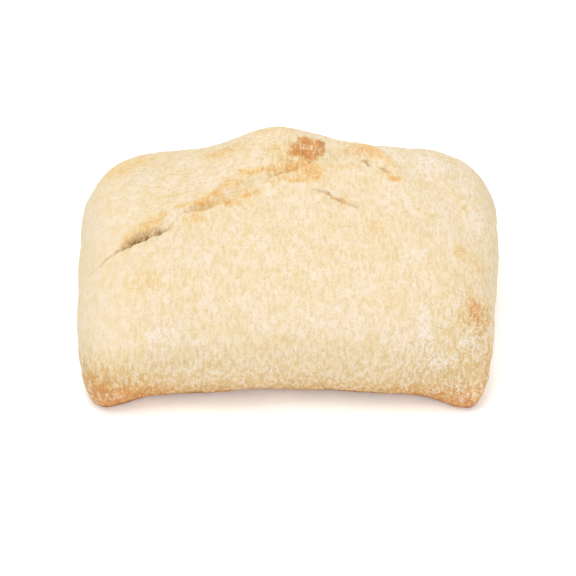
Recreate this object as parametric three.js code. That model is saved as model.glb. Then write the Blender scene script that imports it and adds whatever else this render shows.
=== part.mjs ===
// A ciabatta roll: a puffy, floured pillow of bread whose crust tore open along its upper left.
// Millimetres. +X runs along the roll, +Y to its back and +Z up, and it rests on its sole at z = 0.
//
// The form is a rounded box, full where it stands free and drawn in where the dough shrank. Its
// surface is found along rays from a point inside, and cracks and crags are then cut along the
// surface's own normal.
import * as THREE from 'three';
import { mergeVertices } from 'three/addons/utils/BufferGeometryUtils.js';

const { clamp, lerp, smoothstep, degToRad } = THREE.MathUtils;

// ---------------------------------------------------------------- driving dimensions

// The pillow. The middle of its box in plan is the origin, a little off the middle of the dough.
const BODY = {
  shiftX: -0.59,
  shiftY: -0.61,
  halfLength: 62.4,
  halfDepthFront: 45.2,
  halfDepthBack: 42.4,
  girthHeight: 19.5, // the level where the sides stand out furthest
  topHeight: 44.9, // at the middle, without the crest
  baseDepth: 44.0, // how far under the girth the sides would meet: the sole cuts them off
  riseToBack: 0.08, // mm of height gained per mm towards the back
  riseToRight: 0.023,
  wideToBackLeft: 0.047, // mm of half length gained per mm towards the back
  wideToBackRight: 0.087,
};

const LEAST_RISE = 5; // of the top over the girth, at the very sides

// How square the pillow is: exponents of its rounded outlines. In plan it eases from the sole up
// to easeZ, and over the girth from frontY to backY.
const SQUARENESS = {
  planAtBase: 11.2,
  planAtTop: 3.9,
  easeZ: 28,
  topFront: 2.2,
  topBack: 2.54,
  frontY: -30,
  backY: 25,
  under: 2.73,
};

// The long sides shrink in between the corners, and the front tucks under below tuckHeight.
const DRAWN_IN = { front: 3.8, back: 2.0, tuck: 7.2, tuckHeight: 20 };
// The hollow fades towards the corners, part of it gently and the rest over the last of the way.
const CORNERS = { x: 54.8, gentleShare: 0.57, gentlePower: 1.55, sharpFrom: 0.68 };
const BACK_LOBES = { left: 2.3, right: 3.4, from: 10, to: 54 };
const SOLE = { edgeLift: 1.6, liftFromY: -20, liftToY: -36, rounding: 1.5 };

// The crest: a hump at the back, whose line runs off to the right and forwards.
const CREST = {
  height: 11.1,
  x: -4.3,
  y: 28.2,
  widthLeft: 15.4,
  widthRight: 18.0,
  reachFront: 15,
  reachBack: 9,
  bend: 23.7, // how far the line has come forward after bendSpan
  bendSpan: 47.5,
  bendPower: 2.31,
};

// Right of the hump the crest's line is a fold: the front stands over the lobe behind it. A low
// shoulder carries the crest's height on to the right, and both fade out again before the side.
const SHOULDER = { height: 1.3, from: 4, full: 24, fade: 40, to: 56 };
const FOLD = { step: 3.4, width: 2.6, reach: 12, from: 8, full: 30, fade: 28, to: 41 };

// Tears in the crust, in plan, from their left ends to their right ends. Each station gives
// x, y, the width, the depth and the height of the lips there. The long one runs from the left
// side up to the crest, deepest where it gapes; the short ones lie right of its end.
const TEARS = [
  [
    [-58.5, -15.5, 0.8, 0.3, 0.0],
    [-53.5, -12.6, 1.2, 0.6, 0.1],
    [-50.0, -11.2, 2.0, 1.4, 0.3],
    [-46.6, -10.6, 4.2, 2.2, 0.4],
    [-43.0, -9.8, 5.0, 2.6, 0.5],
    [-39.8, -9.2, 4.6, 1.9, 0.5],
    [-37.0, -9.2, 4.0, 2.4, 0.4],
    [-34.8, -8.2, 1.8, 0.6, 0.3],
    [-32.8, -4.2, 1.4, 0.3, 0.1],
    [-30.8, -1.8, 1.6, 0.4, 0.2],
    [-27.6, -2.2, 3.4, 1.3, 0.3],
    [-24.1, -2.4, 4.0, 1.4, 0.4],
    [-21.2, -1.2, 4.2, 1.2, 0.4],
    [-18.6, 0.9, 4.6, 1.1, 0.4],
    [-14.6, 4.0, 5.4, 1.0, 0.4],
    [-10.6, 6.2, 5.0, 0.9, 0.4],
    [-6.4, 8.0, 3.6, 0.8, 0.3],
    [-2.2, 9.8, 2.0, 0.6, 0.3],
    [2.4, 10.9, 1.2, 0.3, 0.2],
  ],
  [
    [7.7, 3.5, 0.8, 0.4, 0.0],
    [10.1, 3.0, 1.0, 0.6, 0.1],
    [12.4, 1.7, 1.2, 0.8, 0.1],
    [13.8, -0.1, 1.4, 0.9, 0.2],
    [16.4, -1.4, 2.2, 1.2, 0.2],
    [19.1, -2.2, 1.4, 0.7, 0.1],
    [21.4, -2.8, 0.8, 0.3, 0.0],
  ],
  [
    [21.4, 14.4, 0.8, 0.4, 0.0],
    [22.9, 13.5, 2.0, 1.8, 0.2],
    [24.4, 12.4, 0.8, 0.4, 0.0],
  ],
  [
    [26.8, 11.5, 0.8, 0.3, 0.0],
    [28.7, 10.8, 1.4, 0.8, 0.0],
    [30.6, 10.0, 0.8, 0.3, 0.0],
  ],
];
const TEAR_FRONT_SHARE = 0.3; // of a tear's width in front of its deepest line
const LIP_WIDTH = 1.3;
const TORN_LEVEL = { from: 14, full: 24 }; // heights between which tears and knob set in

// The scorched lump of crust where the tear meets the crest: x, y, radius and height of its bumps.
const KNOB_BUMPS = [
  [3.8, 17.6, 2.4, 1.2],
  [7.0, 18.4, 3.4, 1.6],
  [5.4, 20.4, 2.6, 1.4],
  [8.8, 20.2, 2.2, 1.6],
  [2.4, 16.4, 1.6, 0.7],
  [6.4, 16.0, 2.2, 1.1],
];
const KNOB_SLOPE = { from: 0.35, to: 1.25 }; // in shares of a bump's radius

// Long low swells of the dough: wavelength, heading in plan, phase and height.
const SWELLS = [
  { length: 41, heading: 20, phase: 0.6, height: 0.3 },
  { length: 29, heading: 78, phase: 2.1, height: 0.22 },
  { length: 22, heading: 131, phase: 4.0, height: 0.18 },
  { length: 14, heading: 52, phase: 1.3, height: 0.12 },
];
const SWELL_DRIFT = 0.8; // how far a swell moves to the back for each mm of height

// Puffs and slacks of the dough: x, y and z of the middle, width and height along the normal.
const PUFFS = [
  [-54.0, 24.0, 33.0, 7.0, 0.5],
  [-37.0, 29.0, 40.0, 8.0, -0.3],
  [-27.0, 28.0, 42.5, 8.0, -0.6],
  [-16.0, 26.0, 47.5, 6.0, 0.4],
  [30.0, 27.0, 43.5, 7.0, 0.9],
  [51.0, 29.0, 37.5, 6.0, -0.5],
  [62.0, 23.5, 27.0, 7.0, 0.5],
  [-59.5, 5.0, 29.7, 8.0, -0.4],
  [-6.0, -40.0, 3.0, 12.0, 0.5],
  [32.0, -40.0, 4.0, 8.0, -0.4],
  [50.0, -43.0, 4.0, 7.0, 0.5],
];

// The mesh: an even ball of triangles, with more where the crust is torn or folded. Lengths are
// the longest edges there, and the growths how much longer an edge may be for each mm away.
const MESH = {
  ballDetail: 12,
  rounds: 4,
  side: 5.2,
  sole: 7.0,
  soleUpTo: 0.4,
  fold: 2.2,
  foldGrowth: 0.5,
  relief: 1.3,
  reliefGrowth: 0.6,
};
const RAY_CENTRE_Z = 20;
const RAY_SPREAD = [62, 42, 26];
const RAY_REACH = 95;
const RAY_HALVINGS = 26;

// The crust's colour where it is plain, pale gold under its flour.
const CRUST_COLOUR = '#f2dcb6';
const CRUST_ROUGHNESS = 0.85;

// ---------------------------------------------------------------- form of the pillow

const ramp = (from, to, value) => smoothstep(value, from, to);
const fall = (from, to, value) => 1 - smoothstep(value, from, to);
const bell = (distance, width) => Math.exp(-((distance / width) ** 2));

// 1 at the middle of a long side and 0 at its corners.
function drawnIn(x) {
  const share = Math.min(Math.abs(x) / CORNERS.x, 1);
  const gentle = 1 - share ** CORNERS.gentlePower;
  return lerp(fall(CORNERS.sharpFrom, 1, share), gentle, CORNERS.gentleShare);
}

function crestLineY(x) {
  const share = Math.max(x - CREST.x, 0) / CREST.bendSpan;
  return CREST.y - CREST.bend * share ** CREST.bendPower;
}

function crestHeight(x) {
  const width = x < CREST.x ? CREST.widthLeft : CREST.widthRight;
  const shoulder = ramp(SHOULDER.from, SHOULDER.full, x) * fall(SHOULDER.fade, SHOULDER.to, x);
  return CREST.height * bell(x - CREST.x, width) + SHOULDER.height * shoulder;
}

// Height of the top over the girth, before the sides round it off.
function topRise(x, y) {
  const behind = y - crestLineY(x);
  const plain = BODY.topHeight - BODY.girthHeight + BODY.riseToBack * y + BODY.riseToRight * x;
  const crest = crestHeight(x) * bell(behind, behind < 0 ? CREST.reachFront : CREST.reachBack);
  const step = FOLD.step * ramp(FOLD.from, FOLD.full, x) * fall(FOLD.fade, FOLD.to, x);
  const fold = step * fall(0, FOLD.width, behind) * bell(Math.min(behind, 0), FOLD.reach);
  return plain + crest + fold;
}

// Under 1 inside the dough and over 1 outside it.
function fullness(x, y, z) {
  const halfLength = BODY.halfLength + (x < 0 ? BODY.wideToBackLeft : BODY.wideToBackRight) * y;
  let halfDepth;
  if (y < 0) {
    const tuck = DRAWN_IN.tuck * (1 - clamp(z / DRAWN_IN.tuckHeight, 0, 1)) ** 2;
    halfDepth = BODY.halfDepthFront - (DRAWN_IN.front + tuck) * drawnIn(x);
  } else {
    const lobe = (x > 0 ? BACK_LOBES.right : BACK_LOBES.left)
      * ramp(BACK_LOBES.from, BACK_LOBES.to, Math.abs(x));
    halfDepth = BODY.halfDepthBack - DRAWN_IN.back * drawnIn(x) + lobe;
  }
  const square = lerp(SQUARENESS.planAtBase, SQUARENESS.planAtTop, ramp(0, SQUARENESS.easeZ, z));
  const plan = (Math.abs(x / halfLength) ** square + Math.abs(y / halfDepth) ** square) ** (1 / square);
  const over = z - BODY.girthHeight;
  const upright = over > 0 ? over / Math.max(topRise(x, y), LEAST_RISE) : -over / BODY.baseDepth;
  const toBack = ramp(SQUARENESS.frontY, SQUARENESS.backY, y);
  const roundTop = lerp(SQUARENESS.topFront, SQUARENESS.topBack, toBack);
  const round = over > 0 ? roundTop : SQUARENESS.under;
  return plan ** round + upright ** round;
}

// The sole is flat, but for the middle of its front edge, which curled up in the oven.
function soleHeight(x, y) {
  return SOLE.edgeLift * drawnIn(x) * fall(SOLE.liftToY, SOLE.liftFromY, y);
}

function restOnSole(point) {
  const sole = soleHeight(point.x, point.y);
  const over = point.z - sole;
  const round = SOLE.rounding;
  if (over > round) return;
  point.z = sole + (over < -round ? 0 : (over + round) ** 2 / (4 * round));
}

// ---------------------------------------------------------------- relief of the crust

// The stretch of a tear nearest to a point in plan: how far it is, on which side, and its section.
function nearestStretch(tear, x, y) {
  let nearest = { distance: Infinity };
  for (let i = 1; i < tear.length; i += 1) {
    const [startX, startY, ...startSection] = tear[i - 1];
    const [endX, endY, ...endSection] = tear[i];
    const run = new THREE.Vector2(endX - startX, endY - startY);
    const out = new THREE.Vector2(x - startX, y - startY);
    const along = clamp(out.dot(run) / run.lengthSq(), 0, 1);
    const behind = run.cross(out) > 0;
    const distance = out.addScaledVector(run, -along).length();
    if (distance < nearest.distance) {
      const section = startSection.map((value, index) => lerp(value, endSection[index], along));
      nearest = { distance, behind, section };
    }
  }
  return nearest;
}

// The front lip of a tear is sharp, its far wall slopes, and the crust stands up along both.
function tearRelief(tear, x, y) {
  const { distance, behind, section: [width, depth, lip] } = nearestStretch(tear, x, y);
  const wall = width * (behind ? 1 - TEAR_FRONT_SHARE : TEAR_FRONT_SHARE);
  return lip * bell(distance - wall - LIP_WIDTH / 2, LIP_WIDTH) - depth * fall(0, wall, distance);
}

function knobRelief(x, y) {
  return KNOB_BUMPS.reduce((highest, [bumpX, bumpY, radius, height]) => {
    const out = Math.hypot(x - bumpX, y - bumpY) / radius;
    return Math.max(highest, height * fall(KNOB_SLOPE.from, KNOB_SLOPE.to, out));
  }, 0);
}

function swellRelief(x, y, z) {
  return SWELLS.reduce((sum, swell) => {
    const heading = degToRad(swell.heading);
    const run = x * Math.cos(heading) + (y - SWELL_DRIFT * z) * Math.sin(heading);
    return sum + swell.height * Math.sin((2 * Math.PI * run) / swell.length + swell.phase);
  }, 0);
}

function puffRelief(x, y, z) {
  return PUFFS.reduce((sum, [puffX, puffY, puffZ, width, height]) => (
    sum + height * bell(Math.hypot(x - puffX, y - puffY, z - puffZ), width)
  ), 0);
}

function relief(x, y, z) {
  const onTop = ramp(TORN_LEVEL.from, TORN_LEVEL.full, z);
  const tears = TEARS.reduce((sum, tear) => sum + tearRelief(tear, x, y), 0);
  return swellRelief(x, y, z) + puffRelief(x, y, z) + onTop * (tears + knobRelief(x, y));
}

// ---------------------------------------------------------------- surface

// The surface point of the plain pillow along a ray from its inside.
function pillowPoint(ray) {
  let near = 0;
  let far = RAY_REACH;
  for (let halving = 0; halving < RAY_HALVINGS; halving += 1) {
    const middle = (near + far) / 2;
    const inside = fullness(ray.x * middle, ray.y * middle, ray.z * middle + RAY_CENTRE_Z) < 1;
    if (inside) near = middle;
    else far = middle;
  }
  return new THREE.Vector3(ray.x * near, ray.y * near, ray.z * near + RAY_CENTRE_Z);
}

function pillowNormal({ x, y, z }, step = 0.05) {
  return new THREE.Vector3(
    fullness(x + step, y, z) - fullness(x - step, y, z),
    fullness(x, y + step, z) - fullness(x, y - step, z),
    fullness(x, y, z + step) - fullness(x, y, z - step),
  ).normalize();
}

function crustPoint(ray) {
  const point = pillowPoint(ray);
  point.addScaledVector(pillowNormal(point), relief(point.x, point.y, point.z));
  restOnSole(point);
  return point;
}

// ---------------------------------------------------------------- mesh

// How long an edge may be at a point of the crust.
function edgeLimit({ x, y, z }) {
  if (z < MESH.soleUpTo) return MESH.sole;
  if (z < BODY.girthHeight) return MESH.side;
  const fromTears = TEARS.map((tear) => {
    const { distance, section: [width] } = nearestStretch(tear, x, y);
    return distance - width / 2;
  });
  const fromBumps = KNOB_BUMPS.map(([bumpX, bumpY, radius]) => Math.hypot(x - bumpX, y - bumpY) - radius);
  const fromRelief = Math.max(Math.min(...fromTears, ...fromBumps), 0);
  const byRelief = MESH.relief + MESH.reliefGrowth * fromRelief;
  const fromFold = Math.abs(y - crestLineY(x) - FOLD.width / 2) - FOLD.width;
  const byFold = MESH.fold + MESH.foldGrowth * Math.max(fromFold, FOLD.from - x, x - FOLD.to, 0);
  return Math.min(byRelief, byFold, MESH.side);
}

// The triangles that one triangle becomes when the edges that have a middle are split there.
function splitTriangle(corners, middles) {
  const splits = middles.filter((middle) => middle !== null).length;
  if (splits === 0) return [corners];
  let [a, b, c] = corners;
  let [ab, bc, ca] = middles;
  while (splits === 1 ? ab === null : splits === 2 && ca !== null) {
    [a, b, c] = [b, c, a];
    [ab, bc, ca] = [bc, ca, ab];
  }
  if (splits === 1) return [[a, ab, c], [ab, b, c]];
  if (splits === 2) return [[ab, b, bc], [a, ab, bc], [a, bc, c]];
  return [[a, ab, ca], [ab, b, bc], [ca, bc, c], [ab, bc, ca]];
}

// Splits each edge that is too long for its place. Both triangles on it share the new vertex.
function refine(rays, points, triangles) {
  const middles = new Map();
  const middleOf = (a, b) => {
    const key = a < b ? `${a} ${b}` : `${b} ${a}`;
    if (middles.has(key)) return middles.get(key);
    const centre = points[a].clone().lerp(points[b], 0.5);
    let middle = null;
    if (points[a].distanceTo(points[b]) > edgeLimit(centre)) {
      middle = rays.length;
      rays.push(rays[a].clone().add(rays[b]).normalize());
      points.push(crustPoint(rays[middle]));
    }
    middles.set(key, middle);
    return middle;
  };
  return triangles.flatMap(([a, b, c]) => (
    splitTriangle([a, b, c], [middleOf(a, b), middleOf(b, c), middleOf(c, a)])
  ));
}

function rollGeometry() {
  const ball = new THREE.IcosahedronGeometry(1, MESH.ballDetail);
  ball.deleteAttribute('normal');
  ball.deleteAttribute('uv');
  const joined = mergeVertices(ball);
  const rays = [];
  for (let i = 0; i < joined.attributes.position.count; i += 1) {
    const ray = new THREE.Vector3().fromBufferAttribute(joined.attributes.position, i);
    rays.push(ray.multiply(new THREE.Vector3(...RAY_SPREAD)).normalize());
  }
  const points = rays.map(crustPoint);
  let triangles = [];
  for (let i = 0; i < joined.index.count; i += 3) {
    triangles.push([0, 1, 2].map((corner) => joined.index.getX(i + corner)));
  }
  for (let round = 0; round < MESH.rounds; round += 1) triangles = refine(rays, points, triangles);

  const geometry = new THREE.BufferGeometry().setFromPoints(points);
  geometry.setIndex(triangles.flat());
  geometry.translate(BODY.shiftX, BODY.shiftY, 0);
  geometry.computeVertexNormals();
  return geometry;
}

// ---------------------------------------------------------------- the roll

const crust = new THREE.MeshStandardMaterial({
  color: CRUST_COLOUR,
  roughness: CRUST_ROUGHNESS,
  metalness: 0,
});
const roll = new THREE.Mesh(rollGeometry(), crust);
roll.name = 'ciabatta_roll';

const model = new THREE.Group();
model.add(roll);

export default model;
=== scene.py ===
"""A ciabatta roll on a pale floor: its crust, flour, browned corners and torn crumb.

The form is worked out in millimetres by the same named values as the solid, apart from two slopes
that are marked below, and then cut finer: the crust's wrinkles, the ragged lips of the tears, the
crease in the deep pocket and the bared crumb are in the mesh. Where the crust is browned, floured
or torn, and where shade is painted, is kept on the mesh's points, and the material's noise breaks
it up.
"""

import math

import bmesh
import bpy
import numpy as np
from mathutils import Matrix, Vector, noise


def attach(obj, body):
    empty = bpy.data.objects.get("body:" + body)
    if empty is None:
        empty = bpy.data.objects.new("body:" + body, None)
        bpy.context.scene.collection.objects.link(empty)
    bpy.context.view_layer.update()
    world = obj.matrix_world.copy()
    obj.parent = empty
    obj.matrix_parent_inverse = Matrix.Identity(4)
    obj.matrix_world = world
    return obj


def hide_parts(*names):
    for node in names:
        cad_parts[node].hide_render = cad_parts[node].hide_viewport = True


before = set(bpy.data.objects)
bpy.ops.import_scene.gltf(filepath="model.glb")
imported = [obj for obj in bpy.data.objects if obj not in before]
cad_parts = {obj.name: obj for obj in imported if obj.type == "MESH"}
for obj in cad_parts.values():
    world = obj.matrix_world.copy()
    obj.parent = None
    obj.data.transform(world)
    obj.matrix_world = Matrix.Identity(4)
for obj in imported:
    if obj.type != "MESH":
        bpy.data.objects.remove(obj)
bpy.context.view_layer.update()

MM = 0.001

# ---------------------------------------------------------------- the pillow, as in the solid

# The form is drawn around a middle of its own. This is where that lies in the part's frame.
SHIFT = np.array([-0.59, -0.61, 0.0])

BODY = dict(
    half_length=62.4,
    half_depth_front=45.2,
    half_depth_back=42.4,
    girth_height=19.5,
    top_height=44.9,
    least_rise=5,
    base_depth=44.0,
    rise_to_back=0.08,
    rise_to_right=0.023,
    wide_to_back_left=0.047,
    wide_to_back_right=0.087,
)
SQUARENESS = dict(
    plan_at_base=11.2,
    plan_at_top=3.9,
    plan_eased_at=28,
    top_front=2.2,
    top_back=2.54,
    front_y=-30,
    back_y=25,
    under=2.73,
)
DRAWN_IN = dict(front=3.8, back=2.0, tuck=7.2, tuck_height=20)
CORNERS = dict(x=54.8, gentle_share=0.57, gentle_power=1.55, sharp_from=0.68)
BACK_LOBES = dict(left=2.3, right=3.4, start=10, full=54)
SOLE = dict(edge_lift=1.6, lift_from_y=-20, lift_to_y=-36, rounding=1.5)
CREST = dict(
    height=11.1,
    x=-4.3,
    y=28.2,
    width_left=15.4,
    width_right=18.0,
    reach_front=15,
    reach_back=9,
    bend=23.7,
    bend_span=47.5,
    bend_power=2.31,
)
SHOULDER = dict(height=1.3, start=4, full=24, fade=40, end=56)
FOLD = dict(step=3.4, width=2.6, reach=12, start=8, full=30, fade=28, end=41)

# The surface is looked for along rays from the middle of the dough, by halving.
RAY_CENTRE = np.array([0.0, 0.0, 20.0])
RAY_SPREAD = np.array([62.0, 42.0, 26.0])  # spreads them about evenly over the dough
RAY_REACH = 95.0
HALVINGS = 24


def ramp(start, end, value):
    t = np.clip((value - start) / (end - start), 0, 1)
    return t * t * (3 - 2 * t)


def fall(start, end, value):
    return 1 - ramp(start, end, value)


def bell(distance, width):
    return np.exp(-((distance / width) ** 2))


def mix(a, b, share):
    return a + (b - a) * share


def drawn_in(x):
    share = np.minimum(np.abs(x) / CORNERS["x"], 1)
    gentle = 1 - share ** CORNERS["gentle_power"]
    return mix(fall(CORNERS["sharp_from"], 1, share), gentle, CORNERS["gentle_share"])


def crest_line_y(x):
    share = np.maximum(x - CREST["x"], 0) / CREST["bend_span"]
    return CREST["y"] - CREST["bend"] * share ** CREST["bend_power"]


def rising(form, height, x):
    """The height of a form that rises from start to full and sinks again from fade to end."""
    return height * ramp(form["start"], form["full"], x) * fall(form["fade"], form["end"], x)


def top_rise(x, y):
    behind = y - crest_line_y(x)
    width = np.where(x < CREST["x"], CREST["width_left"], CREST["width_right"])
    shoulder = rising(SHOULDER, SHOULDER["height"], x)
    crest = CREST["height"] * bell(x - CREST["x"], width) + shoulder
    crest = crest * bell(behind, np.where(behind < 0, CREST["reach_front"], CREST["reach_back"]))
    step = rising(FOLD, FOLD["step"], x)
    fold = step * fall(0, FOLD["width"], behind) * bell(np.minimum(behind, 0), FOLD["reach"])
    plain = BODY["top_height"] - BODY["girth_height"]
    return plain + BODY["rise_to_back"] * y + BODY["rise_to_right"] * x + crest + fold


def fullness(x, y, z):
    """Under 1 inside the dough and over 1 outside it."""
    widening = np.where(x < 0, BODY["wide_to_back_left"], BODY["wide_to_back_right"])
    half_length = BODY["half_length"] + widening * y
    hollow = drawn_in(x)
    tuck = DRAWN_IN["tuck"] * (1 - np.clip(z / DRAWN_IN["tuck_height"], 0, 1)) ** 2
    front = BODY["half_depth_front"] - (DRAWN_IN["front"] + tuck) * hollow
    lobe = np.where(x > 0, BACK_LOBES["right"], BACK_LOBES["left"])
    lobe = lobe * ramp(BACK_LOBES["start"], BACK_LOBES["full"], np.abs(x))
    back = BODY["half_depth_back"] - DRAWN_IN["back"] * hollow + lobe
    half_depth = np.where(y < 0, front, back)
    eased = ramp(0, SQUARENESS["plan_eased_at"], z)
    square = mix(SQUARENESS["plan_at_base"], SQUARENESS["plan_at_top"], eased)
    plan = (np.abs(x / half_length) ** square + np.abs(y / half_depth) ** square) ** (1 / square)
    above = z - BODY["girth_height"]
    rise = np.maximum(top_rise(x, y), BODY["least_rise"])
    upright = np.where(above > 0, above / rise, -above / BODY["base_depth"])
    backward = ramp(SQUARENESS["front_y"], SQUARENESS["back_y"], y)
    round_top = mix(SQUARENESS["top_front"], SQUARENESS["top_back"], backward)
    power = np.where(above > 0, round_top, SQUARENESS["under"])
    return plan**power + upright**power


def pillow_points(rays):
    """Where rays from the middle of the dough meet its plain surface."""
    near = np.zeros(len(rays))
    far = np.full(len(rays), RAY_REACH)
    for _ in range(HALVINGS):
        middle = (near + far) / 2
        inside = fullness(*(rays * middle[:, None] + RAY_CENTRE).T) < 1
        near = np.where(inside, middle, near)
        far = np.where(inside, far, middle)
    return rays * near[:, None] + RAY_CENTRE


def pillow_normals(points, step=0.05):
    """Directions out of the dough, from how its fullness grows over a step to each side."""
    slope = np.empty_like(points)
    for axis in range(3):
        offset = np.zeros(3)
        offset[axis] = step
        slope[:, axis] = fullness(*(points + offset).T) - fullness(*(points - offset).T)
    return slope / np.linalg.norm(slope, axis=1)[:, None]


def sole_height(x, y):
    return SOLE["edge_lift"] * drawn_in(x) * fall(SOLE["lift_to_y"], SOLE["lift_from_y"], y)


def rest_on_sole(points):
    x, y, z = points.T
    sole = sole_height(x, y)
    above = z - sole
    rounding = SOLE["rounding"]
    eased = np.where(above < -rounding, 0, (above + rounding) ** 2 / (4 * rounding))
    return np.column_stack([x, y, sole + np.where(above > rounding, above, eased)])


# ---------------------------------------------------------------- noise

SEED_STEP = 31.7  # how far apart two seeds look in the noise


def speckle(points, size, seed, stretch=(1, 1, 1)):
    """Smooth noise of about -1 to 1, whose bumps are size millimetres wide."""
    places = points / (size * np.array(stretch)) + SEED_STEP * seed
    return np.array([noise.noise(place) for place in places.tolist()])


def bumps(points, height, **kind):
    """Relief of noise, up to about height millimetres."""
    return height * speckle(points, **kind)


def shaken(points, reach, size, seeds):
    """How far noise moves each point, along as many axes as there are seeds."""
    return reach * np.column_stack([speckle(points, size, seed) for seed in seeds])


def broken(points, size, seed, start, full):
    """0 where noise is under start and 1 where it is over full, to break paint up."""
    return ramp(start, full, speckle(points, size, seed))


# ---------------------------------------------------------------- tears

# Stations of each tear, from left to right: x, y, width, depth and height of the lips.
TEARS = [
    [
        (-58.5, -15.5, 0.8, 0.3, 0.0),
        (-53.5, -12.6, 1.2, 0.6, 0.1),
        (-50.0, -11.2, 2.0, 1.4, 0.3),
        (-46.6, -10.6, 4.2, 2.2, 0.4),
        (-43.0, -9.8, 5.0, 2.6, 0.5),
        (-39.8, -9.2, 4.6, 1.9, 0.5),
        (-37.0, -9.2, 4.0, 2.4, 0.4),
        (-34.8, -8.2, 1.8, 0.6, 0.3),
        (-32.8, -4.2, 1.4, 0.3, 0.1),
        (-30.8, -1.8, 1.6, 0.4, 0.2),
        (-27.6, -2.2, 3.4, 1.3, 0.3),
        (-24.1, -2.4, 4.0, 1.4, 0.4),
        (-21.2, -1.2, 4.2, 1.2, 0.4),
        (-18.6, 0.9, 4.6, 1.1, 0.4),
        (-14.6, 4.0, 5.4, 1.0, 0.4),
        (-10.6, 6.2, 5.0, 0.9, 0.4),
        (-6.4, 8.0, 3.6, 0.8, 0.3),
        (-2.2, 9.8, 2.0, 0.6, 0.3),
        (2.4, 10.9, 1.2, 0.3, 0.2),
    ],
    [
        (7.7, 3.5, 0.8, 0.4, 0.0),
        (10.1, 3.0, 1.0, 0.6, 0.1),
        (12.4, 1.7, 1.2, 0.8, 0.1),
        (13.8, -0.1, 1.4, 0.9, 0.2),
        (16.4, -1.4, 2.2, 1.2, 0.2),
        (19.1, -2.2, 1.4, 0.7, 0.1),
        (21.4, -2.8, 0.8, 0.3, 0.0),
    ],
    [(21.4, 14.4, 0.8, 0.4, 0.0), (22.9, 13.5, 2.0, 1.8, 0.2), (24.4, 12.4, 0.8, 0.4, 0.0)],
    [(26.8, 11.5, 0.8, 0.3, 0.0), (28.7, 10.8, 1.4, 0.8, 0.0), (30.6, 10.0, 0.8, 0.3, 0.0)],
]
TEAR_FRONT_SHARE = 0.16  # of a tear's width, in front of its line; more in the coarser solid
LIP_WIDTH = 1.3
RAGGED = dict(reach=0.55, size=2.6, seeds=(1, 2))
JAGGED = dict(reach=0.35, size=0.9, seeds=(3, 4))

# Depths over which a tear turns into a pocket, whose back is creased in once more. The place and
# the width of that crease are shares of the tear's width.
POCKET_DEPTHS = (1.2, 2.4)
POCKET_CREASE = dict(depth=1.8, place=0.12, width=0.09, least_width=0.25)
CREASE_BREAKS = dict(size=2.3, seed=11, start=-0.55, full=-0.1)
BRIDGE = dict(x=-39.4, y=-8.2, radius=1.6)  # where dough fills the crease

# Where the bared crumb, the cracks, the shade in the tears and the browned lips are painted.
CRUMB_DEPTHS = (0.6, 1.6)
OPEN_WIDTHS = (2.4, 3.2)  # a narrower tear is a crack
CRACK = dict(width=0.45, depths=(0.15, 0.8))
SHADE = dict(shallow=0.24, shallow_depths=(0.8, 1.6), pocket=0.62, place=0.38, width=0.27)
BROWN_LIPS = dict(heights=(0.1, 0.5), out=0.2, width=1.7)


def nearest_stretch(tear, x, y):
    """For points in plan: how far behind a tear they lie, and its width, depth and lip there."""
    stations = np.array(tear)
    distance = np.full(x.shape, np.inf)
    side = np.ones(x.shape)
    section = np.zeros((3,) + x.shape)
    for start, end in zip(stations[:-1], stations[1:]):
        run = end[:2] - start[:2]
        out_x, out_y = x - start[0], y - start[1]
        along = np.clip((out_x * run[0] + out_y * run[1]) / (run @ run), 0, 1)
        off = np.hypot(out_x - along * run[0], out_y - along * run[1])
        nearer = off < distance
        distance = np.where(nearer, off, distance)
        side = np.where(nearer, np.where(out_y * run[0] > out_x * run[1], 1, -1), side)
        section = np.where(nearer, mix(start[2:, None], end[2:, None], along), section)
    return distance * side, section


def open_crease(points, x, y):
    """1 where a pocket's crease is open and 0 where dough closes it."""
    out = np.hypot(x - BRIDGE["x"], y - BRIDGE["y"])
    return broken(points, **CREASE_BREAKS) * (1 - bell(out, BRIDGE["radius"]))


def tear_layers(points):
    """Relief of all tears, and shares: bared crumb, painted shade, browned lips and cracks."""
    ragged = shaken(points, **RAGGED) + shaken(points, **JAGGED)
    x, y = (points[:, :2] + ragged).T
    creased = open_crease(points, x, y)
    names = ("relief", "crumb", "shade", "lips", "cracks")
    layers = {name: np.zeros(len(points)) for name in names}

    def raise_to(name, level):
        layers[name] = np.maximum(layers[name], level)

    for tear in TEARS:
        behind, (width, depth, lip) = nearest_stretch(tear, x, y)
        wall = width * np.where(behind > 0, 1 - TEAR_FRONT_SHARE, TEAR_FRONT_SHARE)
        cut = fall(0, 1, np.abs(behind) / wall)
        pocket = ramp(*POCKET_DEPTHS, depth)
        crease_width = POCKET_CREASE["width"] * width + POCKET_CREASE["least_width"]
        crease = pocket * bell(behind - POCKET_CREASE["place"] * width, crease_width) * creased
        layers["relief"] += lip * bell(np.abs(behind) - wall - LIP_WIDTH / 2, LIP_WIDTH)
        layers["relief"] -= depth * cut + POCKET_CREASE["depth"] * crease

        raise_to("crumb", cut * ramp(*CRUMB_DEPTHS, depth))
        crack = bell(behind, CRACK["width"]) * ramp(*CRACK["depths"], depth)
        raise_to("cracks", crack * fall(*OPEN_WIDTHS, width))
        shade = SHADE["shallow"] * ramp(*SHADE["shallow_depths"], depth)
        shade = shade + SHADE["pocket"] * pocket * creased
        shade *= bell(behind - SHADE["place"] * width, SHADE["width"] * width)
        raise_to("shade", shade * ramp(*OPEN_WIDTHS, width))
        lips = bell(behind - wall - BROWN_LIPS["out"], BROWN_LIPS["width"])
        raise_to("lips", ramp(*BROWN_LIPS["heights"], lip) * lips)
    return layers


# ---------------------------------------------------------------- relief

TORN_LEVEL = (14, 24)  # heights over which the tears and the knob fade in

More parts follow.
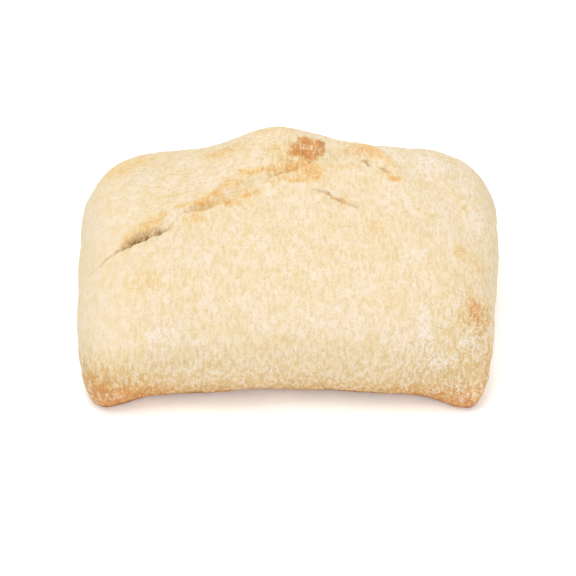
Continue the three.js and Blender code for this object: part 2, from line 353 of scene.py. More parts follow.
# Bumps of the scorched knob on the crest: x, y, radius and height.
KNOB_BUMPS = [
    (3.8, 17.6, 2.4, 1.2),
    (7.0, 18.4, 3.4, 1.6),
    (5.4, 20.4, 2.6, 1.4),
    (8.8, 20.2, 2.2, 1.6),
    (2.4, 16.4, 1.6, 0.7),
    (6.4, 16.0, 2.2, 1.1),
]
# Where a bump starts to sink and where it ends, in radii. The coarser solid has a steeper slope.
KNOB_SLOPE = (0.2, 1.5)
KNOB_EDGE = dict(reach=0.8, size=1.7, seeds=(12, 13))
KNOB_SKIN = dict(height=0.35, size=1.2, seed=10)
KNOB_SKIN_HEIGHTS = (0.3, 1)

# Long swells: length of the wave, heading in degrees, phase and height.
SWELLS = [(41, 20, 0.6, 0.3), (29, 78, 2.1, 0.22), (22, 131, 4.0, 0.18), (14, 52, 1.3, 0.12)]
SWELL_DRIFT = 0.8  # how far back a swell leans for each millimetre up

# Puffs and dents: x, y, z of the middle, radius and height.
PUFFS = [
    (-54.0, 24.0, 33.0, 7.0, 0.5),
    (-37.0, 29.0, 40.0, 8.0, -0.3),
    (-27.0, 28.0, 42.5, 8.0, -0.6),
    (-16.0, 26.0, 47.5, 6.0, 0.4),
    (30.0, 27.0, 43.5, 7.0, 0.9),
    (51.0, 29.0, 37.5, 6.0, -0.5),
    (62.0, 23.5, 27.0, 7.0, 0.5),
    (-59.5, 5.0, 29.7, 8.0, -0.4),
    (-6.0, -40.0, 3.0, 12.0, 0.5),
    (32.0, -40.0, 4.0, 8.0, -0.4),
    (50.0, -43.0, 4.0, 7.0, 0.5),
]

# Noise on the crust: fine wrinkles, creases that are cut in, and ripples. The next values say
# how the roughness, the sole and the back scale the first two.
WRINKLES = dict(height=0.3, size=1.9, seed=5, stretch=(1, 2, 2))
CREASES = dict(height=0.35, size=2.6, seed=6, stretch=(1, 2, 2))
RIPPLES = dict(height=0.16, size=5.0, seed=7, stretch=(0.8, 1.6, 1.6))
WRINKLED = dict(
    most_rough=1.2,
    at_sole=0.3,
    sole_heights=(1, 8),
    less_at_back=0.5,
    back_ys=(22, 32),
)
# Noise on the bared crumb, which has fewer wrinkles.
CRUMBS = dict(height=0.7, size=1.4, seed=8)
FINE_CRUMBS = dict(height=0.35, size=0.7, seed=9)
LESS_WRINKLED_CRUMB = 0.6


def knob_relief(points):
    x, y = (points[:, :2] + shaken(points, **KNOB_EDGE)).T
    relief = np.zeros(len(x))
    for bump_x, bump_y, radius, height in KNOB_BUMPS:
        out = np.hypot(x - bump_x, y - bump_y) / radius
        relief = np.maximum(relief, height * fall(*KNOB_SLOPE, out))
    return relief


def swell_relief(points):
    x, y, z = points.T
    relief = np.zeros(len(points))
    for length, heading, phase, height in SWELLS:
        heading = math.radians(heading)
        run = x * math.cos(heading) + (y - SWELL_DRIFT * z) * math.sin(heading)
        relief += height * np.sin(2 * math.pi * run / length + phase)
    for puff_x, puff_y, puff_z, radius, height in PUFFS:
        out = np.sqrt((x - puff_x) ** 2 + (y - puff_y) ** 2 + (z - puff_z) ** 2)
        relief += height * bell(out, radius)
    return relief


def wrinkle_relief(points, rough):
    y, z = points[:, 1:].T
    wrinkles = bumps(points, **WRINKLES) - np.abs(bumps(points, **CREASES))
    at_sole = WRINKLED["at_sole"]
    low = at_sole + (1 - at_sole) * ramp(*WRINKLED["sole_heights"], z)
    wrinkles = wrinkles * np.minimum(rough, WRINKLED["most_rough"]) * low
    wrinkles *= 1 - WRINKLED["less_at_back"] * ramp(*WRINKLED["back_ys"], y)
    return wrinkles + bumps(points, **RIPPLES)


def crust_relief(points, on_top, tears, knob, rough):
    crumb = tears["crumb"] * (bumps(points, **CRUMBS) + bumps(points, **FINE_CRUMBS))
    smoothed = 1 - LESS_WRINKLED_CRUMB * tears["crumb"]
    relief = swell_relief(points) + on_top * (tears["relief"] + knob + crumb)
    relief += wrinkle_relief(points, rough) * smoothed
    return relief + bumps(points, **KNOB_SKIN) * on_top * ramp(*KNOB_SKIN_HEIGHTS, knob)


# ---------------------------------------------------------------- paint

# Blots of paint on the pillow: x, y, z of the middle, half width along x and across it, strength.
BROWNED = [
    # the two front corners
    (-52.0, -44.0, 4.0, 12.0, 8.5, 0.42),
    (-57.0, -40.5, 11.0, 5.0, 3.2, 0.14),
    (-50.0, -41.0, 13.0, 9.0, 4.5, 0.1),
    (-40.0, -41.0, 3.0, 11.0, 4.5, 0.32),
    (53.0, -43.0, 2.0, 12.0, 6.0, 0.5),
    (38.0, -41.5, 4.0, 12.0, 4.0, 0.22),
    (59.0, -36.0, 11.0, 3.5, 8.0, 0.26),
    (48.0, -41.0, 12.0, 9.0, 6.0, 0.1),
    # the right side
    (54.0, -29.4, 27.0, 4.4, 5.4, 0.4),
    (56.5, -33.5, 23.2, 1.6, 1.6, 0.4),
    (50.0, -37.5, 21.0, 9.0, 6.0, 0.08),
    (50.1, -12.5, 35.9, 3.2, 3.0, 0.22),
    (56.0, -15.0, 31.1, 3.0, 4.5, 0.18),
    (51.9, 5.8, 37.7, 1.3, 1.0, 0.4),
    # the crest, its knob and the fold
    (-20.0, 21.0, 46.7, 7.0, 3.0, 0.28),
    (-11.0, 21.5, 50.4, 8.0, 3.0, 0.07),
    (-3.0, 24.5, 52.4, 9.0, 2.4, 0.14),
    (20.0, 18.0, 48.9, 6.5, 2.6, 0.29),
    (-0.5, 16.5, 50.0, 6.0, 3.4, 0.22),
    (5.0, 12.0, 48.0, 6.5, 2.2, 0.38),
    (5.0, 16.0, 50.0, 3.0, 1.4, 0.4),
    # painted shade on the knob's steep right side
    (9.6, 20.0, 49.8, 1.0, 2.6, 0.75),
    (18.5, 12.0, 47.9, 3.5, 1.6, 0.22),
    (29.0, 10.8, 47.9, 1.6, 0.6, 0.5),
    (32.5, 8.4, 47.3, 3.2, 1.4, 0.4),
    (37.0, 6.2, 46.6, 2.2, 1.0, 0.28),
    (41.5, 3.0, 45.6, 1.8, 1.6, 0.26),
    # along the tears
    (-40.6, -2.7, 39.5, 6.0, 2.0, 0.24),
    (-36.5, -1.8, 40.8, 3.0, 1.4, 0.3),
    (-31.0, 1.2, 42.2, 3.0, 0.9, 0.26),
    (-24.2, 0.4, 43.2, 3.8, 1.1, 0.34),
    (-20.4, 3.2, 44.0, 3.0, 1.2, 0.26),
    (-16.5, 7.0, 45.6, 2.6, 1.4, 0.25),
    (-11.5, 10.8, 47.3, 4.0, 1.0, 0.3),
    (-3.5, 11.2, 48.0, 4.5, 0.9, 0.28),
    (-16.8, -0.2, 44.2, 3.6, 1.6, 0.34),
    (-11.3, 3.0, 45.3, 4.0, 1.6, 0.4),
    (-5.5, 6.0, 46.4, 3.0, 1.4, 0.2),
    (1.6, 8.0, 47.1, 5.0, 1.6, 0.3),
    (8.0, 9.0, 47.1, 3.0, 2.0, 0.26),
    (15.2, -1.0, 45.0, 1.6, 0.8, 0.4),
    (21.4, -3.0, 44.7, 1.2, 0.7, 0.3),
    (-26.4, -5.6, 42.4, 4.4, 1.8, 0.26),
    # golden patches on the top
    (-41.0, -25.2, 35.2, 8.0, 4.5, 0.15),
    (26.0, -11.0, 43.5, 9.0, 6.0, 0.12),
    # the rims of the back lobes
    (-46.0, 28.0, 38.0, 9.0, 5.0, 0.2),
    (-54.0, 25.0, 34.0, 5.0, 6.0, 0.14),
    (48.0, 27.0, 39.6, 6.0, 2.6, 0.15),
    # the two back corners
    (-54.0, 42.0, 5.0, 12.0, 8.0, 0.4),
    (56.0, 44.0, 5.0, 12.0, 8.0, 0.45),
]
FLOURED = [
    (-46.0, 12.0, 38.0, 14.0, 13.0, 0.45),
    (-14.0, 15.5, 47.0, 8.0, 3.0, 0.6),
    (-18.0, 3.6, 44.6, 5.0, 1.8, 0.5),
    (-7.4, 6.6, 46.4, 3.6, 2.4, 0.75),
    (4.2, 18.8, 50.4, 3.4, 2.2, 0.6),
    (46.0, 23.0, 41.0, 11.0, 8.0, 0.75),
    (43.0, 20.0, 42.5, 3.0, 5.0, 0.95),
    (55.5, 3.6, 34.9, 6.0, 9.0, 0.6),
    (40.0, 2.0, 44.6, 10.0, 6.0, 0.5),
    (52.8, -36.3, 21.8, 7.5, 4.0, 1.0),
    (39.0, -37.0, 28.5, 3.2, 8.0, 0.95),
    (43.5, -41.7, 18.9, 5.2, 3.4, 1.0),
    (53.0, -43.5, 4.0, 4.5, 2.6, 0.8),
    (46.0, -42.5, 9.0, 10.0, 4.0, 0.5),
    (53.0, -31.0, 27.0, 3.0, 4.0, 0.4),
    (-50.0, -43.0, 6.5, 3.5, 3.0, 0.7),
    (-36.5, -38.5, 27.0, 7.5, 4.5, 0.8),
    (-54.0, -38.0, 16.0, 4.0, 3.0, 0.5),
    (-33.0, -40.0, 17.0, 10.0, 3.0, 0.4),
]
ROUGHENED = [
    (-50.0, -43.0, 4.0, 12.0, 8.0, 0.9),
    (53.0, -42.0, 5.0, 13.0, 9.0, 0.8),
    (54.1, -30.0, 26.5, 8.0, 9.0, 0.7),
    (46.0, -38.0, 20.0, 14.0, 10.0, 0.3),
    (4.0, 17.0, 50.0, 9.0, 6.0, 0.5),
    (-46.0, 20.0, 38.0, 14.0, 13.0, 0.2),
]
GREYED = [(15.5, 17.2, 48.0, 6.5, 3.0, 1.0), (20.5, 13.5, 47.2, 5.0, 2.5, 0.6)]

PAINT_EDGE = dict(reach=1.6, size=3.4, seeds=(21, 22, 23))

# Roughness everywhere, added low down, and taken off the left end's top and the short sides.
ROUGH = dict(plain=0.62, low=0.8, left_end=0.35, short_sides=0.5)
LOW_HEIGHTS = (4, 30)
LEFT_END = dict(xs=(-34, -54), heights=(10, 22))
SHORT_SIDES = dict(xs=(54, 61), heights=(12, 30), ys=(-38, -30))

# Strength of the browning of each place; low and lowest are partly painted shade.
BROWNING = dict(knob=0.54, lips=0.24, cracks=0.3, fold=0.18, low=0.08, lowest=0.18, sole=0.9)
LIP_BREAKS = dict(size=5.0, seed=14, start=-1.2, full=0.3)
CRACK_BREAKS = dict(size=1.4, seed=15, start=-0.7, full=0.4)
KNOB_HEIGHTS = (0.1, 0.8)  # relief over which the browning of the knob sets in
FOLD_PAINT = dict(start=14, full=26, fade=28, end=42, in_front=2.4, width=3.0)
LOW_SIDES = dict(ys=(20, 38), xs=(48, 60), short_sides=0.7, heights=(14, 34), lowest=(1, 13))
SOLE_EDGE = dict(height=0.5, size=4.0, seed=16)
SOLE_EDGE_HEIGHTS = (0.8, 2.0)
RIM = dict(strength=0.8, heights=(0.9, 1.8))
RIM_BREAKS = dict(size=4.0, seed=17, start=-0.2, full=0.3)
CRACK_SHADE = 0.4

# Flour all over, more of it to the right and behind the fold, and less in the tears.
FLOURING = dict(
    plain=0.18,
    right=0.2,
    right_xs=(0, 50),
    behind_fold=0.7,
    fold_ys=(0.5, 2.5),
    less_in_tears=0.9,
)
KNOB_ROUGHNESS = dict(strength=0.3, heights=(0.1, 0.6))
# Left of the crest and behind this slanted line, the fine strokes run along the roll. Elsewhere
# they run down it.
STROKES_LINE = dict(slope=0.44, y=10, reach=(2, 9), xs=(-12, 0))
GREY_ENDS = dict(strength=0.8, xs=(53, 61))


def over(level, more):
    """One share of paint over another."""
    return 1 - (1 - level) * (1 - np.clip(more, 0, 1))


def blots(points, places):
    level = np.zeros(len(points))
    for x, y, z, wide, tall, strength in places:
        out = (points - (x, y, z)) / (wide, tall, tall)
        level = over(level, strength * np.exp(-(out**2).sum(axis=1)))
    return level


def roughness(points):
    x, y, z = points.T
    rough = ROUGH["plain"] + ROUGH["low"] * fall(*LOW_HEIGHTS, z) + blots(points, ROUGHENED)
    rough -= ROUGH["left_end"] * ramp(*LEFT_END["xs"], x) * ramp(*LEFT_END["heights"], z)
    sides = ROUGH["short_sides"] * ramp(*SHORT_SIDES["xs"], np.abs(x))
    return rough - sides * fall(*SHORT_SIDES["heights"], z) * ramp(*SHORT_SIDES["ys"], y)


def browned_share(points, ragged, edge, folded, on_top, tears, knob):
    x, y, z = points.T
    behind = ragged[:, 1] - crest_line_y(x)
    lips = tears["lips"] * broken(points, **LIP_BREAKS)
    cracks = tears["cracks"] * broken(points, **CRACK_BREAKS)
    fold = bell(behind + FOLD_PAINT["in_front"], FOLD_PAINT["width"]) * folded
    short_sides = LOW_SIDES["short_sides"] * ramp(*LOW_SIDES["xs"], np.abs(x))
    low_sides = np.maximum(ramp(*LOW_SIDES["ys"], np.abs(y)), short_sides)
    # Browner low down on the sides and short ends: partly the crust's own browning, partly
    # painted shade where the sides turn under, away from the light.
    low = BROWNING["low"] * fall(*LOW_SIDES["heights"], z)
    low = (low + BROWNING["lowest"] * fall(*LOW_SIDES["lowest"], z)) * low_sides
    browned = blots(ragged, BROWNED)
    browned = over(browned, BROWNING["knob"] * ramp(*KNOB_HEIGHTS, knob) * on_top)
    browned = over(browned, BROWNING["lips"] * lips * on_top)
    browned = over(browned, BROWNING["cracks"] * cracks * on_top)
    browned = over(browned, BROWNING["fold"] * fold)
    browned = over(browned, low)
    return over(browned, BROWNING["sole"] * fall(*SOLE_EDGE_HEIGHTS, edge))


def floured_share(points, ragged, folded, tears):
    x = points[:, 0]
    behind = ragged[:, 1] - crest_line_y(x)
    plain = FLOURING["plain"] + FLOURING["right"] * ramp(*FLOURING["right_xs"], x)
    behind_fold = FLOURING["behind_fold"] * ramp(*FLOURING["fold_ys"], behind) * folded
    floured = over(over(blots(ragged, FLOURED), plain), behind_fold)
    return floured * (1 - FLOURING["less_in_tears"] * np.maximum(tears["shade"], tears["cracks"]))


def paint_layers(points, formed, on_top, tears, knob, rough):
    """Shares from 0 to 1 that the material reads, and the roughness."""
    x, y = points[:, :2].T
    ragged = points + shaken(points, **PAINT_EDGE)
    folded = rising(FOLD_PAINT, 1, x) * on_top
    edge = formed[:, 2] - sole_height(x, y) + bumps(points, **SOLE_EDGE)
    # Painted shade in the tears and cracks, and a broken dark line along the sole's edge, which
    # the material gives the same dark brown.
    rim = RIM["strength"] * fall(*RIM["heights"], edge) * broken(points, **RIM_BREAKS)
    shade_and_rim = np.maximum(tears["shade"], CRACK_SHADE * tears["cracks"]) * on_top
    knob_rough = KNOB_ROUGHNESS["strength"] * ramp(*KNOB_ROUGHNESS["heights"], knob) * on_top
    behind_line = y - STROKES_LINE["slope"] * x - STROKES_LINE["y"]
    along = ramp(*STROKES_LINE["reach"], behind_line) * fall(*STROKES_LINE["xs"], x) * on_top
    grey_ends = GREY_ENDS["strength"] * ramp(*GREY_ENDS["xs"], np.abs(x))
    return dict(
        torn=tears["crumb"] * on_top,
        shade_and_rim=np.maximum(shade_and_rim, rim),
        baked=browned_share(points, ragged, edge, folded, on_top, tears, knob),
        floured=floured_share(points, ragged, folded, tears),
        rough=rough + knob_rough,
        along=along,
        greyed=over(blots(ragged, GREYED), grey_ends),
    )


# ---------------------------------------------------------------- mesh

BALL_DIVISIONS = 5
REFINEMENTS = 4
# Longest edges of the mesh: at the tears and the knob, how they grow away from them, on the top,
# and on the front, back and sole under the girth.
EDGES = dict(finest=0.42, growth=0.25, top=0.86, front=1.0, back=1.5, sole=3.0)
BACK_Y = 25  # behind this, the girth's underside counts as back
SOLE_Z = -2  # lower points of the pillow are pressed flat on the sole


def ball():
    mesh = bmesh.new()
    bmesh.ops.create_icosphere(mesh, subdivisions=BALL_DIVISIONS, radius=1)
    rays = np.array([vertex.co for vertex in mesh.verts]) * RAY_SPREAD
    triangles = np.array([[vertex.index for vertex in face.verts] for face in mesh.faces])
    mesh.free()
    return rays / np.linalg.norm(rays, axis=1)[:, None], triangles


def edge_limits(points):
    x, y, z = points.T
    reach = np.full(len(points), np.inf)
    for tear in TEARS:
        behind, section = nearest_stretch(tear, x, y)
        reach = np.minimum(reach, np.abs(behind) - section[0])
    for bump_x, bump_y, radius, _ in KNOB_BUMPS:
        reach = np.minimum(reach, np.hypot(x - bump_x, y - bump_y) - radius)
    top = np.minimum(EDGES["finest"] + EDGES["growth"] * np.maximum(reach, 0), EDGES["top"])
    side = np.where(y > BACK_Y, EDGES["back"], EDGES["front"])
    limit = np.where(z < BODY["girth_height"], side, top)
    return np.where(z < SOLE_Z, EDGES["sole"], limit)


def split(triangles, middles):
    """Cuts each triangle at the middles of its long edges; a middle is -1 on a short edge."""
    splits = (middles >= 0).sum(axis=1)
    parts = [triangles[splits == 0]]
    for turn in range(3):
        order = [turn, (turn + 1) % 3, (turn + 2) % 3]
        a, b, c = triangles[:, order].T
        ab, bc, ca = middles[:, order].T
        one = (splits == 1) & (ab >= 0)
        parts.append(np.column_stack([a, ab, c])[one])
        parts.append(np.column_stack([ab, b, c])[one])
        two = (splits == 2) & (ca < 0)
        parts.append(np.column_stack([ab, b, bc])[two])
        parts.append(np.column_stack([a, ab, bc])[two])
        parts.append(np.column_stack([a, bc, c])[two])
        three = splits == 3
        parts.append(np.column_stack([a, ab, ca])[three])
    parts.append(middles[splits == 3])
    return np.vstack(parts)


def refine(rays, points, triangles):
    """Splits each edge that is too long for its place, and its triangles with it."""
    pairs = np.sort(triangles[:, [[0, 1], [1, 2], [2, 0]]].reshape(-1, 2), axis=1)
    edges, which = np.unique(pairs, axis=0, return_inverse=True)
    start, end = points[edges[:, 0]], points[edges[:, 1]]
    long = np.linalg.norm(start - end, axis=1) > edge_limits((start + end) / 2)
    middle_of = np.where(long, len(rays) + np.cumsum(long) - 1, -1)
    new_rays = rays[edges[long, 0]] + rays[edges[long, 1]]
    new_rays /= np.linalg.norm(new_rays, axis=1)[:, None]
    triangles = split(triangles, middle_of[which.reshape(-1, 3)])
    points = np.vstack([points, pillow_points(new_rays)])
    return np.vstack([rays, new_rays]), points, triangles


def mesh_object(name, points, triangles, layers):
    mesh = bpy.data.meshes.new(name)
    mesh.from_pydata((points * MM).tolist(), [], triangles.tolist())
    for layer, values in layers.items():
        attribute = mesh.attributes.new(layer, "FLOAT", "POINT")
        attribute.data.foreach_set("value", values.astype(np.float32))
    mesh.polygons.foreach_set("use_smooth", [True] * len(mesh.polygons))
    mesh.update()
    piece = bpy.data.objects.new(name, mesh)
    bpy.context.scene.collection.objects.link(piece)
    return piece


def crust_piece():
    rays, triangles = ball()
    points = pillow_points(rays)
    for _ in range(REFINEMENTS):
        rays, points, triangles = refine(rays, points, triangles)
    on_top = ramp(*TORN_LEVEL, points[:, 2])
    tears = tear_layers(points)
    knob = knob_relief(points)
    rough = roughness(points)
    relief = crust_relief(points, on_top, tears, knob, rough)
    formed = rest_on_sole(points + pillow_normals(points) * relief[:, None])
    layers = paint_layers(points, formed, on_top, tears, knob, rough)
    return mesh_object("crust", formed + SHIFT, triangles, layers)


# ---------------------------------------------------------------- materials

DAYLIGHT = 1.3  # how much brighter than its own colour a thing looks in the studio's light

CREAM = (255, 236, 210)
DEEP_CREAM = (248, 225, 180)
GREY_CREAM = (240, 226, 192)
# Colours of the pits and creases, darker than the crust around them: partly its own tone and
# partly painted shade.
PIT = (229, 199, 144)
BAKED_PIT = (220, 156, 96)
FLOUR = (255, 243, 228)
CRUMB = (255, 226, 166)
# The dark brown of the painted shade in the tears and cracks, and of the line along the sole's
# edge.
SHADE_AND_RIM_BROWN = (156, 102, 40)
BAKES = [
    (0.00, (250, 229, 190)),
    (0.20, (250, 218, 160)),
    (0.45, (246, 195, 124)),
    (0.70, (238, 169, 102)),
    (1.00, (204, 130, 74)),
]

# Noises of the crust. Their sizes are the widths of the bumps in millimetres.
NOISES = dict(
    swirl=dict(size=7.0),
    mottle=dict(size=2.2, detail=3.0, roughness=0.6, stretch=(1, 1.6, 1.6)),
    down=dict(size=0.95, stretch=(1, 2.6, 2.6)),
    across=dict(size=0.95, stretch=(2.6, 1, 1)),
    grain=dict(size=0.75, roughness=0.6),
    flecks=dict(size=0.85, detail=3.0, roughness=0.6),
    curls=dict(size=1.15, stretch=(1, 1.4, 1.4)),
    patches=dict(size=1.8, detail=4.0, roughness=0.7),
    # breaks up the painted shade and the dark line along the sole's edge
    shade_breaks=dict(size=1.0, detail=3.0),
)
# Levels of a noise or layer at which each effect starts and is full.
LEVELS = dict(
    grooves=(0.1, 0.0),
    ridges=(0.5, 0.66),
    deep_cream=(0.36, 0.64),
    baked=(0.0, 0.2),
    crumb=(0.15, 0.6),
    stroke_pits=(0.55, 0.3),
    grain_pits=(0.5, 0.3),
    baked_pits=(0.05, 0.5),
    baked_ridges=(0.1, 0.5),
    # where the painted shade and the sole's dark line show through their noise
    scorched=(0.3, 0.5),
)
# Weight of each part in the sums: of browning, of cream, of pits, of flour and of height.
PATCHES = dict(contrast=2.2, offset=-0.2, least=0.3, most=1.5, grooves=0.5, ridges=-0.15)
CREAMS = dict(swirl=0.45, mottle=0.55)
PITS = dict(grooves=0.26, strokes=0.6, grain=0.6, most=0.75)
DUST = dict(bare=0.74, floured=-0.4, grooves=-0.08, softness=0.16, most=0.85)
# Flour and painted highlight on the raised ridges, less where the crust is browned.
RIDGE_FLOUR_AND_HIGHLIGHT = dict(plain=0.36, baked=-0.3)
HEIGHT = dict(flecks=0.6, grain=0.7, grooves=-0.3, strokes=1.1)
BUMP = dict(strength=0.7, distance=0.45 * MM)
MOST_ROUGH = 1.4
GREYNESS = 0.6  # how far the greyed places go to the grey cream
FINISH = dict(roughness=0.85, specular=0.25)


def linear(colour, daylight=DAYLIGHT):
    """Shader colour of what looks like this 8-bit colour in the studio, by the sRGB curve."""
    shares = [level / 255 for level in colour]
    return [((share + 0.055) / 1.055) ** 2.4 / daylight for share in shares] + [1]


# Outputs of two kinds of node, by number: an attribute's factor and the place on the object.
FACTOR_OUTPUT = 2
OBJECT_OUTPUT = 3


class Nodes:
    """Adds nodes to a new material; their outputs are passed on from method to method."""

    def __init__(self, name):
        self.material = bpy.data.materials.new(name)
        self.material.use_nodes = True
        self.tree = self.material.node_tree
        self.shader = self.tree.nodes["Principled BSDF"]

    def add(self, kind, *values, out=0, **settings):
        node = self.tree.nodes.new("ShaderNode" + kind)
        for setting, value in settings.items():
            setattr(node, setting, value)
        for socket, value in zip(node.inputs, values):
            self.put(socket, value)
        return node.outputs[out]

    def put(self, socket, value):
        if isinstance(value, bpy.types.NodeSocket):
            self.tree.links.new(value, socket)
        elif value is not None:
            socket.default_value = value

    def layer(self, name):
        """What the mesh's points keep under this name."""
        return self.add("Attribute", out=FACTOR_OUTPUT, attribute_name=name)

    def math(self, operation, *values):
        return self.add("Math", *values, operation=operation)

    def times(self, a, b):
        return self.math("MULTIPLY", a, b)

    def times_plus(self, a, b, c):
        return self.math("MULTIPLY_ADD", a, b, c)

    def places(self, stretch=(1, 1, 1)):
        """Places on the object in millimetres, drawn out along the axes."""
        spot = self.add("TexCoord", out=OBJECT_OUTPUT)
        scale = tuple(1 / MM / share for share in stretch)
        return self.add("VectorMath", spot, scale, operation="MULTIPLY")

    def noise(self, size, detail=2.0, roughness=0.5, stretch=(1, 1, 1)):
        return self.add("TexNoise", self.places(stretch), None, 1 / size, detail, roughness)

    def step(self, value, start, full):
        """0 before start, 1 past full and smooth between."""
        return self.add("MapRange", value, start, full, 0.0, 1.0, interpolation_type="SMOOTHSTEP")

    def mix(self, share, under, over):
        node = self.tree.nodes.new("ShaderNodeMix")
        node.data_type = "RGBA"
        for name, value in (("Factor_Float", share), ("A_Color", under), ("B_Color", over)):
            socket = next(s for s in node.inputs if s.identifier == name)
            self.put(socket, value)
        return next(s for s in node.outputs if s.identifier == "Result_Color")

    def ramp(self, value, stops):
        output = self.add("ValToRGB", value)
        elements = output.node.color_ramp.elements
        for index, (place, colour) in enumerate(stops):
            element = elements[index] if index < 2 else elements.new(place)
            element.position = place
            element.color = linear(colour)
        return output


def crust_noises(nodes):
    """The noises and layers that both the colour and the bumps use."""
    down = nodes.noise(**NOISES["down"])
    across = nodes.noise(**NOISES["across"])
    strokes = nodes.add("Mix", nodes.layer("along"), None, down, across)
    curls = nodes.math("SUBTRACT", nodes.noise(**NOISES["curls"]), 0.5)
    rough = nodes.math("MINIMUM", nodes.layer("rough"), MOST_ROUGH)
    return dict(
        strokes=strokes,
        grain=nodes.noise(**NOISES["grain"]),
        flecks=nodes.noise(**NOISES["flecks"]),
        grooves=nodes.step(nodes.math("ABSOLUTE", curls), *LEVELS["grooves"]),
        rough=rough,
        ridges=nodes.times(nodes.step(strokes, *LEVELS["ridges"]), rough),
    )


def patchy_browning(nodes, found):
    patches = nodes.noise(**NOISES["patches"])
    patchy = nodes.times_plus(patches, PATCHES["contrast"], PATCHES["offset"])
    patchy = nodes.add("Clamp", patchy, PATCHES["least"], PATCHES["most"])
    patchy = nodes.times_plus(found["grooves"], PATCHES["grooves"], patchy)
    # Raised ridges are browned less: partly flour, partly painted highlight.
    patchy = nodes.times_plus(found["ridges"], PATCHES["ridges"], patchy)
    return nodes.times(nodes.layer("baked"), patchy)


def plain_cream(nodes):
    swirl = nodes.times(nodes.noise(**NOISES["swirl"]), CREAMS["swirl"])
    mottle = nodes.times(nodes.noise(**NOISES["mottle"]), CREAMS["mottle"])
    share = nodes.step(nodes.math("ADD", swirl, mottle), *LEVELS["deep_cream"])
    return nodes.mix(share, linear(CREAM), linear(DEEP_CREAM))


def pitted(nodes, colour, baked, found):
    """Browner pits and creases, partly painted shade, and floured ridges with painted highlight.
    """
    share = nodes.times(found["grooves"], PITS["grooves"])
    strokes = nodes.step(found["strokes"], *LEVELS["stroke_pits"])
    share = nodes.times_plus(strokes, PITS["strokes"], share)
    grain = nodes.step(found["grain"], *LEVELS["grain_pits"])
    share = nodes.times_plus(grain, PITS["grain"], share)
    share = nodes.math("MINIMUM", nodes.times(share, found["rough"]), PITS["most"])
    browner = nodes.step(baked, *LEVELS["baked_pits"])
    colour = nodes.mix(share, colour, nodes.mix(browner, linear(PIT), linear(BAKED_PIT)))
    # Lighter raised ridges: flour, and painted highlight.
    plainer = nodes.step(baked, *LEVELS["baked_ridges"])
    flour = nodes.times_plus(plainer, RIDGE_FLOUR_AND_HIGHLIGHT["baked"], RIDGE_FLOUR_AND_HIGHLIGHT["plain"])
    return nodes.mix(nodes.times(found["ridges"], flour), colour, linear(FLOUR))


def dusted(nodes, colour, found):
    """The colour with flour on its flecks."""
    bare = nodes.times_plus(nodes.layer("floured"), DUST["floured"], DUST["bare"])
    raised = nodes.times_plus(found["grooves"], DUST["grooves"], found["flecks"])
    full = nodes.math("ADD", bare, DUST["softness"])
    share = nodes.add("MapRange", raised, bare, full, 0.0, DUST["most"])
    return nodes.mix(share, colour, linear(FLOUR))


def crust_colour(nodes, found):
    baked = patchy_browning(nodes, found)
    browning = nodes.step(baked, *LEVELS["baked"])
    colour = nodes.mix(browning, plain_cream(nodes), nodes.ramp(baked, BAKES))
    grey = nodes.times(nodes.layer("greyed"), GREYNESS)
    colour = nodes.mix(grey, colour, linear(GREY_CREAM))
    colour = nodes.mix(nodes.step(nodes.layer("torn"), *LEVELS["crumb"]), colour, linear(CRUMB))
    colour = dusted(nodes, pitted(nodes, colour, baked, found), found)
    # Painted shade in the tears and cracks, and the dark line along the sole's edge, broken up by
    # noise.
    shade_breaks = nodes.step(nodes.noise(**NOISES["shade_breaks"]), *LEVELS["scorched"])
    return nodes.mix(nodes.times(nodes.layer("shade_and_rim"), shade_breaks), colour, linear(SHADE_AND_RIM_BROWN))


def crust_bumps(nodes, found):
    height = nodes.times(found["grain"], HEIGHT["grain"])
    for name in ("flecks", "grooves", "strokes"):
        height = nodes.times_plus(found[name], HEIGHT[name], height)
    height = nodes.times(height, found["rough"])
    bump = nodes.add("Bump")
    nodes.put(bump.node.inputs["Strength"], BUMP["strength"])
    nodes.put(bump.node.inputs["Distance"], BUMP["distance"])
    nodes.put(bump.node.inputs["Height"], height)
    return bump


def crust_material():
    nodes = Nodes("crust")
    found = crust_noises(nodes)
    nodes.put(nodes.shader.inputs["Base Color"], crust_colour(nodes, found))
    nodes.put(nodes.shader.inputs["Normal"], crust_bumps(nodes, found))
    nodes.shader.inputs["Roughness"].default_value = FINISH["roughness"]
    nodes.shader.inputs["Specular IOR Level"].default_value = FINISH["specular"]
    return nodes.material


FLOOR_LOOK = dict(shade=0.98, roughness=0.9, glow=0.15)


def floor_material():
    nodes = Nodes("floor")
    inputs = nodes.shader.inputs
    inputs["Base Color"].default_value = [FLOOR_LOOK["shade"]] * 3 + [1]
    inputs["Roughness"].default_value = FLOOR_LOOK["roughness"]
    inputs["Emission Color"].default_value = (1, 1, 1, 1)
    inputs["Emission Strength"].default_value = FLOOR_LOOK["glow"]
    return nodes.material


# ---------------------------------------------------------------- stage

FLOOR_HALF_WIDTH = 1500.0  # in millimetres

# Name, place in metres, width in metres and power of each soft light, which faces the roll.
SOFTBOXES = [
    ("key", (-0.13, 0.0, 0.95), 0.5, 4.5),
    ("fill", (0.5, -0.9, 0.4), 0.8, 2.0),
]
SURROUNDING_LIGHT = 0.8

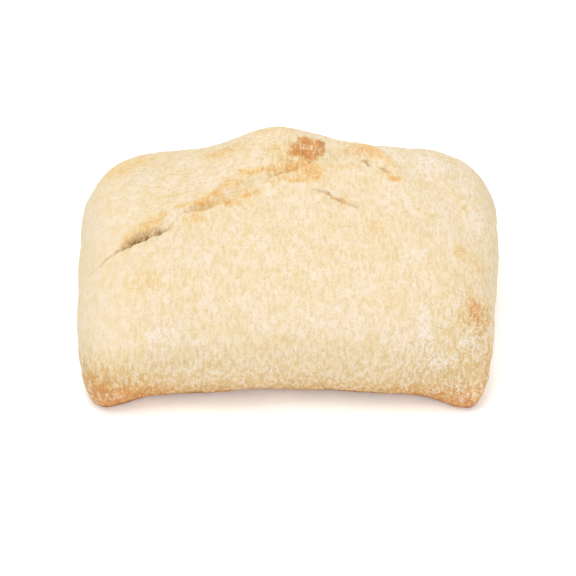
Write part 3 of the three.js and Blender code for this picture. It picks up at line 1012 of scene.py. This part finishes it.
# The camera stands in front of the roll and looks down on it.
ELEVATION = math.radians(40)
DISTANCE = 0.7
TARGET = Vector(RAY_CENTRE + SHIFT) * MM
OFF_CENTRE = Vector((0.11, -6.5)) * MM  # the photograph has the roll a little above its middle
LENS = 146.3
SENSOR_WIDTH = 36
NEAREST = 0.01


def floor():
    corners = np.array([(-1, -1, 0), (1, -1, 0), (1, 1, 0), (-1, 1, 0)]) * FLOOR_HALF_WIDTH
    mesh = bpy.data.meshes.new("floor")
    mesh.from_pydata((corners * MM).tolist(), [], [(0, 1, 2, 3)])
    piece = bpy.data.objects.new("floor", mesh)
    bpy.context.scene.collection.objects.link(piece)
    mesh.materials.append(floor_material())


def lights():
    world = bpy.data.worlds.new("studio")
    world.use_nodes = True
    background = world.node_tree.nodes["Background"]
    background.inputs["Color"].default_value = (1, 1, 1, 1)
    background.inputs["Strength"].default_value = SURROUNDING_LIGHT
    bpy.context.scene.world = world
    for name, place, size, energy in SOFTBOXES:
        lamp = bpy.data.lights.new(name, "AREA")
        lamp.size = size
        lamp.energy = energy
        softbox = bpy.data.objects.new(name, lamp)
        softbox.location = place
        softbox.rotation_euler = (-softbox.location).to_track_quat("-Z", "Y").to_euler()
        bpy.context.scene.collection.objects.link(softbox)


def camera():
    data = bpy.data.cameras.new("camera")
    data.lens = LENS
    data.sensor_width = SENSOR_WIDTH
    data.clip_start = NEAREST
    eye = bpy.data.objects.new("camera", data)
    back = Vector((0, -math.cos(ELEVATION), math.sin(ELEVATION)))
    right = Vector((1, 0, 0))
    up = back.cross(right)
    turn = Matrix((right, up, back)).transposed().to_4x4()
    place = TARGET + back * DISTANCE + right * OFF_CENTRE.x + up * OFF_CENTRE.y
    eye.matrix_world = Matrix.Translation(place) @ turn
    bpy.context.scene.collection.objects.link(eye)
    bpy.context.scene.camera = eye


bpy.context.scene.view_settings.view_transform = "Standard"
camera()
lights()
floor()

crust = crust_piece()
crust.data.materials.append(crust_material())
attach(crust, "root")
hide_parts("ciabatta_roll")
